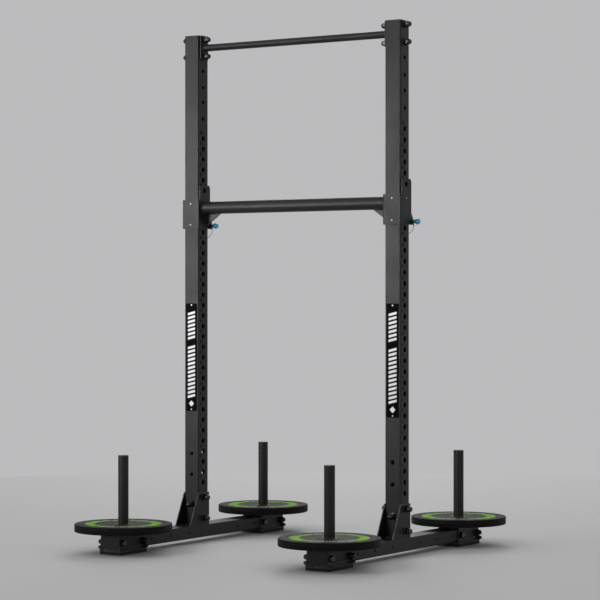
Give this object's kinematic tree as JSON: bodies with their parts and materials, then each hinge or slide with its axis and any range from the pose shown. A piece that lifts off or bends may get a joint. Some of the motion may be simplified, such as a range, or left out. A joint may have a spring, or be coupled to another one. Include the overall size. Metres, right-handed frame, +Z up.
{
  "type": "power tower",
  "caption": "Free-standing lifting yoke and pull-up frame with floor runners, a crossbar that slides on the uprights, and posts that carry rubber weight plates.",
  "frame": {"origin": "on the floor, midway between the uprights and between the loading posts", "axes": "+X along the crossbar, +Y along the runners towards the back, +Z up"},
  "size_m": [1.57, 1.6, 2.43],
  "materials": {
    "black_powder_coat": "matt fine-texture powder coat",
    "black_fasteners": "black zinc plate",
    "plate_rubber": "moulded matt rubber",
    "plate_ring_green": "coloured rubber inlay",
    "hub_steel": "turned steel",
    "cap_plastic": "moulded plastic",
    "liner_plastic": "slippery polyethylene sheet",
    "bright_screws": "bright zinc",
    "rivet_aluminium": "plain",
    "name_plate_face": "printed sheet",
    "pin_steel": "dark plated steel",
    "blue_knob": "gloss",
    "lanyard_wire": "coated wire rope",
    "skid_rubber": "worn flat"
  },
  "bodies": {
    "frame": {"base_bracket_left": "black_powder_coat", "base_bracket_right": "black_powder_coat", "cap_nuts": "black_fasteners", "flat_washers": "black_fasteners", "foot_channel_back_left": "black_powder_coat", "foot_channel_back_right": "black_powder_coat", "foot_channel_front_left": "black_powder_coat", "foot_channel_front_right": "black_powder_coat", "foot_screws": "black_fasteners", "name_plate_left": "name_plate_face", "name_plate_right": "name_plate_face", "name_plate_rivets": "rivet_aluminium", "post_back_left": "black_powder_coat", "post_back_right": "black_powder_coat", "post_caps": "cap_plastic", "post_front_left": "black_powder_coat", "post_front_right": "black_powder_coat", "pull_up_bar": "black_powder_coat", "pull_up_flange_left": "black_powder_coat", "pull_up_flange_right": "black_powder_coat", "runner_left": "black_powder_coat", "runner_right": "black_powder_coat", "saddle_back_left": "black_powder_coat", "saddle_back_right": "black_powder_coat", "saddle_bolts": "black_fasteners", "saddle_front_left": "black_powder_coat", "saddle_front_right": "black_powder_coat", "skid_pad_back_left": "skid_rubber", "skid_pad_back_right": "skid_rubber", "skid_pad_front_left": "skid_rubber", "skid_pad_front_right": "skid_rubber", "upright_caps": "cap_plastic", "upright_left": "black_powder_coat", "upright_right": "black_powder_coat", "upright_studs": "black_fasteners"},
    "crossbar_carriage": {"crossbar": "black_powder_coat", "sleeve_left": "black_powder_coat", "sleeve_right": "black_powder_coat", "crossbar_gussets": "black_powder_coat", "sleeve_liner_left": "liner_plastic", "sleeve_liner_right": "liner_plastic", "liner_screws": "bright_screws", "lanyard_left": "lanyard_wire", "lanyard_right": "lanyard_wire"},
    "left_lock_pin": {"lock_pin_left": "pin_steel", "lock_knob_left": "blue_knob"},
    "right_lock_pin": {"lock_pin_right": "pin_steel", "lock_knob_right": "blue_knob"},
    "weight_plate_front_left": {"plate_rubber_front_left": "plate_rubber", "plate_ring_front_left": "plate_ring_green", "plate_hub_front_left": "hub_steel"},
    "weight_plate_front_right": {"plate_rubber_front_right": "plate_rubber", "plate_ring_front_right": "plate_ring_green", "plate_hub_front_right": "hub_steel"},
    "weight_plate_back_left": {"plate_rubber_back_left": "plate_rubber", "plate_ring_back_left": "plate_ring_green", "plate_hub_back_left": "hub_steel"},
    "weight_plate_back_right": {"plate_rubber_back_right": "plate_rubber", "plate_ring_back_right": "plate_ring_green", "plate_hub_back_right": "hub_steel"}
  },
  "joints": [
    {"name": "crossbar_height", "type": "slide", "parent": "frame", "child": "crossbar_carriage", "axis": [0, 0, 1], "range_m": [-1.2, 0.25]},
    {"name": "left_pin_pull", "type": "slide", "parent": "crossbar_carriage", "child": "left_lock_pin", "axis": [1, 0, 0], "range_m": [0, 0.105]},
    {"name": "right_pin_pull", "type": "slide", "parent": "crossbar_carriage", "child": "right_lock_pin", "axis": [1, 0, 0], "range_m": [0, 0.105]},
    {"name": "plate_lift_front_left", "type": "slide", "parent": "frame", "child": "weight_plate_front_left", "axis": [0, 0, 1], "range_m": [0, 0.36]},
    {"name": "plate_lift_front_right", "type": "slide", "parent": "frame", "child": "weight_plate_front_right", "axis": [0, 0, 1], "range_m": [0, 0.36]},
    {"name": "plate_lift_back_left", "type": "slide", "parent": "frame", "child": "weight_plate_back_left", "axis": [0, 0, 1], "range_m": [0, 0.36]},
    {"name": "plate_lift_back_right", "type": "slide", "parent": "frame", "child": "weight_plate_back_right", "axis": [0, 0, 1], "range_m": [0, 0.36]}
  ]
}
